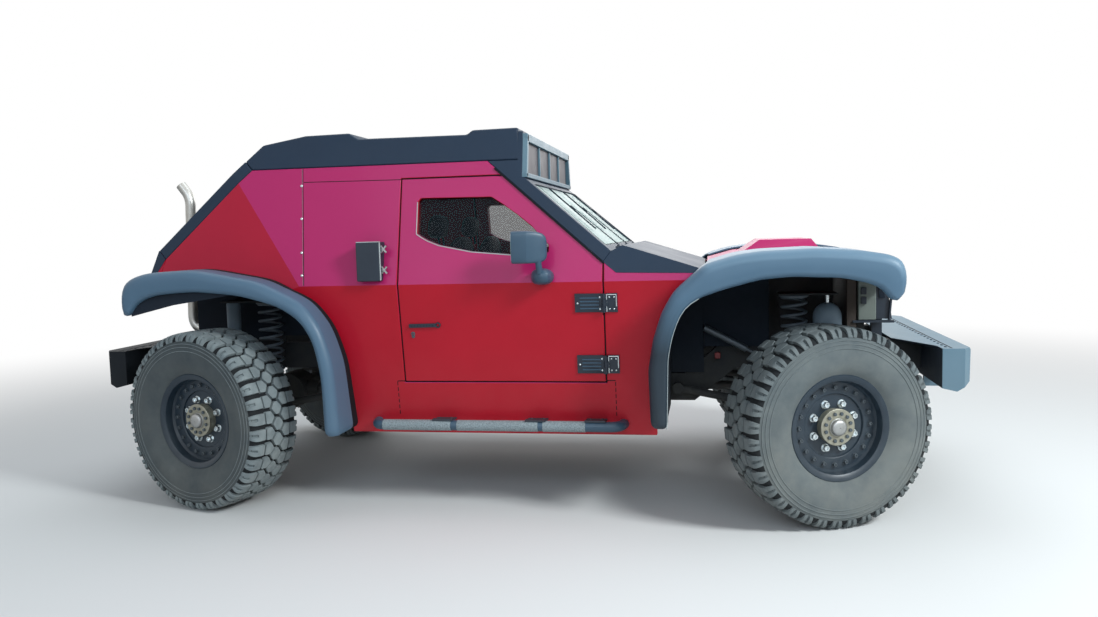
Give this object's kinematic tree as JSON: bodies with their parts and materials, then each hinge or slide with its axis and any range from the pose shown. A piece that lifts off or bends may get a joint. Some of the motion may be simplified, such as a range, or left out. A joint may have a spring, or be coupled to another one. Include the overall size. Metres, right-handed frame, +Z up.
{
  "type": "lifted off-road car",
  "caption": "Two-door off-road car with a faceted body, wide wheel arches, large lugged tyres and steering on both axles.",
  "frame": {"origin": "on the ground midway between the front and rear bumpers' ends, on the car's centre line", "axes": "+X to the front, +Y to the car's left side, +Z up"},
  "size_m": [5.2, 2.7136, 2.266],
  "materials": {
    "red_paint": "gloss",
    "roof_paint": "satin",
    "dark_trim": "satin",
    "bumper_paint": "satin",
    "frame_paint": "satin",
    "spring_paint": "satin",
    "damper_steel": "brushed",
    "engine_iron": "matte",
    "exhaust_steel": "brushed",
    "seat_leather": "satin",
    "dash_plastic": "matte",
    "glass": "clear",
    "lamp_lens": "gloss",
    "red_lens": "gloss",
    "tyre": "matte",
    "rim_paint": "satin"
  },
  "bodies": {
    "chassis": {"body_sides": "red_paint", "bulkhead": "frame_paint", "cab_floor": "frame_paint", "coil_springs": "spring_paint", "cowl": "roof_paint", "crossmembers": "frame_paint", "dampers": "damper_steel", "dashboard": "dash_plastic", "engine_block": "engine_iron", "exhaust_stack": "exhaust_steel", "front_axle": "frame_paint", "front_bumper": "bumper_paint", "front_fenders": "dark_trim", "headlamps": "lamp_lens", "hinge_leaves": "dark_trim", "ladder_frame": "frame_paint", "link_arms": "frame_paint", "nose_panel": "dark_trim", "rear_axle": "frame_paint", "rear_bumper": "bumper_paint", "rear_flares": "dark_trim", "rear_glass": "glass", "rear_slope": "roof_paint", "roof_cap": "roof_paint", "roof_lamp_frame": "roof_paint", "roof_lamps": "lamp_lens", "screen_frame": "roof_paint", "seats": "seat_leather", "side_box": "dark_trim", "step_bars": "bumper_paint", "tail_lamps": "red_lens", "tail_panel": "red_paint", "transmission": "engine_iron", "windscreen": "glass"},
    "door_right": {"door_right": "red_paint", "door_glass_right": "glass", "door_fittings_right": "dark_trim"},
    "door_left": {"door_left": "red_paint", "door_glass_left": "glass", "door_fittings_left": "dark_trim"},
    "bonnet": {"bonnet": "red_paint"},
    "tie_rod_front": {"tie_rod_front": "frame_paint"},
    "tie_rod_rear": {"tie_rod_rear": "frame_paint"},
    "knuckle_front_right": {"knuckle_front_right": "frame_paint"},
    "wheel_front_right": {"wheel_front_right": "rim_paint", "tyre_front_right": "tyre"},
    "knuckle_front_left": {"knuckle_front_left": "frame_paint"},
    "wheel_front_left": {"wheel_front_left": "rim_paint", "tyre_front_left": "tyre"},
    "knuckle_rear_right": {"knuckle_rear_right": "frame_paint"},
    "wheel_rear_right": {"wheel_rear_right": "rim_paint", "tyre_rear_right": "tyre"},
    "knuckle_rear_left": {"knuckle_rear_left": "frame_paint"},
    "wheel_rear_left": {"wheel_rear_left": "rim_paint", "tyre_rear_left": "tyre"}
  },
  "joints": [
    {"name": "door_right_hinge", "type": "hinge", "parent": "chassis", "child": "door_right", "pos_m": [0.619, -0.99795, 1.22317], "axis": [0, -0.1305, 0.9914], "range_deg": [0, 70]},
    {"name": "door_left_hinge", "type": "hinge", "parent": "chassis", "child": "door_left", "pos_m": [0.619, 0.99795, 1.22317], "axis": [0, -0.1305, -0.9914], "range_deg": [0, 70]},
    {"name": "bonnet_hinge", "type": "hinge", "parent": "chassis", "child": "bonnet", "pos_m": [1.19, 0, 1.404], "axis": [0, -1, 0], "range_deg": [0, 55]},
    {"name": "steer_front_right", "type": "hinge", "parent": "chassis", "child": "knuckle_front_right", "pos_m": [1.796, -0.905, 0.546], "axis": [0, 0, 1], "range_deg": [-53, 7]},
    {"name": "spin_front_right", "type": "hinge", "parent": "knuckle_front_right", "child": "wheel_front_right", "pos_m": [1.83507, -0.99705, 0.546], "axis": [0.3907, -0.9205, 0], "continuous": true},
    {"name": "steer_front_left", "type": "hinge", "parent": "chassis", "child": "knuckle_front_left", "pos_m": [1.796, 0.905, 0.546], "axis": [0, 0, 1], "range_deg": [-53, 7]},
    {"name": "spin_front_left", "type": "hinge", "parent": "knuckle_front_left", "child": "wheel_front_left", "pos_m": [1.75693, 0.99705, 0.546], "axis": [-0.3907, 0.9205, 0], "continuous": true},
    {"name": "tie_rod_front_joint", "type": "hinge", "parent": "knuckle_front_right", "child": "tie_rod_front", "pos_m": [1.93408, -0.84639, 0.475], "axis": [0, 0, 1], "range_deg": [-7, 53]},
    {"name": "steer_rear_right", "type": "hinge", "parent": "chassis", "child": "knuckle_rear_right", "pos_m": [-1.806, -0.905, 0.546], "axis": [0, 0, 1], "range_deg": [-5, 39]},
    {"name": "spin_rear_right", "type": "hinge", "parent": "knuckle_rear_right", "child": "wheel_rear_right", "pos_m": [-1.83524, -1.00063, 0.546], "axis": [-0.2924, -0.9563, 0], "continuous": true},
    {"name": "steer_rear_left", "type": "hinge", "parent": "chassis", "child": "knuckle_rear_left", "pos_m": [-1.806, 0.905, 0.546], "axis": [0, 0, 1], "range_deg": [-5, 39]},
    {"name": "spin_rear_left", "type": "hinge", "parent": "knuckle_rear_left", "child": "wheel_rear_left", "pos_m": [-1.77676, 1.00063, 0.546], "axis": [0.2924, 0.9563, 0], "continuous": true},
    {"name": "tie_rod_rear_joint", "type": "hinge", "parent": "knuckle_rear_right", "child": "tie_rod_rear", "pos_m": [-1.94945, -0.86114, 0.475], "axis": [0, 0, 1], "range_deg": [-39, 5]}
  ],
  "couplings": [
    {"joint": "steer_front_left", "follows": "steer_front_right", "ratio": 1},
    {"joint": "tie_rod_front_joint", "follows": "steer_front_right", "ratio": -1},
    {"joint": "steer_rear_left", "follows": "steer_rear_right", "ratio": 1},
    {"joint": "tie_rod_rear_joint", "follows": "steer_rear_right", "ratio": -1}
  ]
}
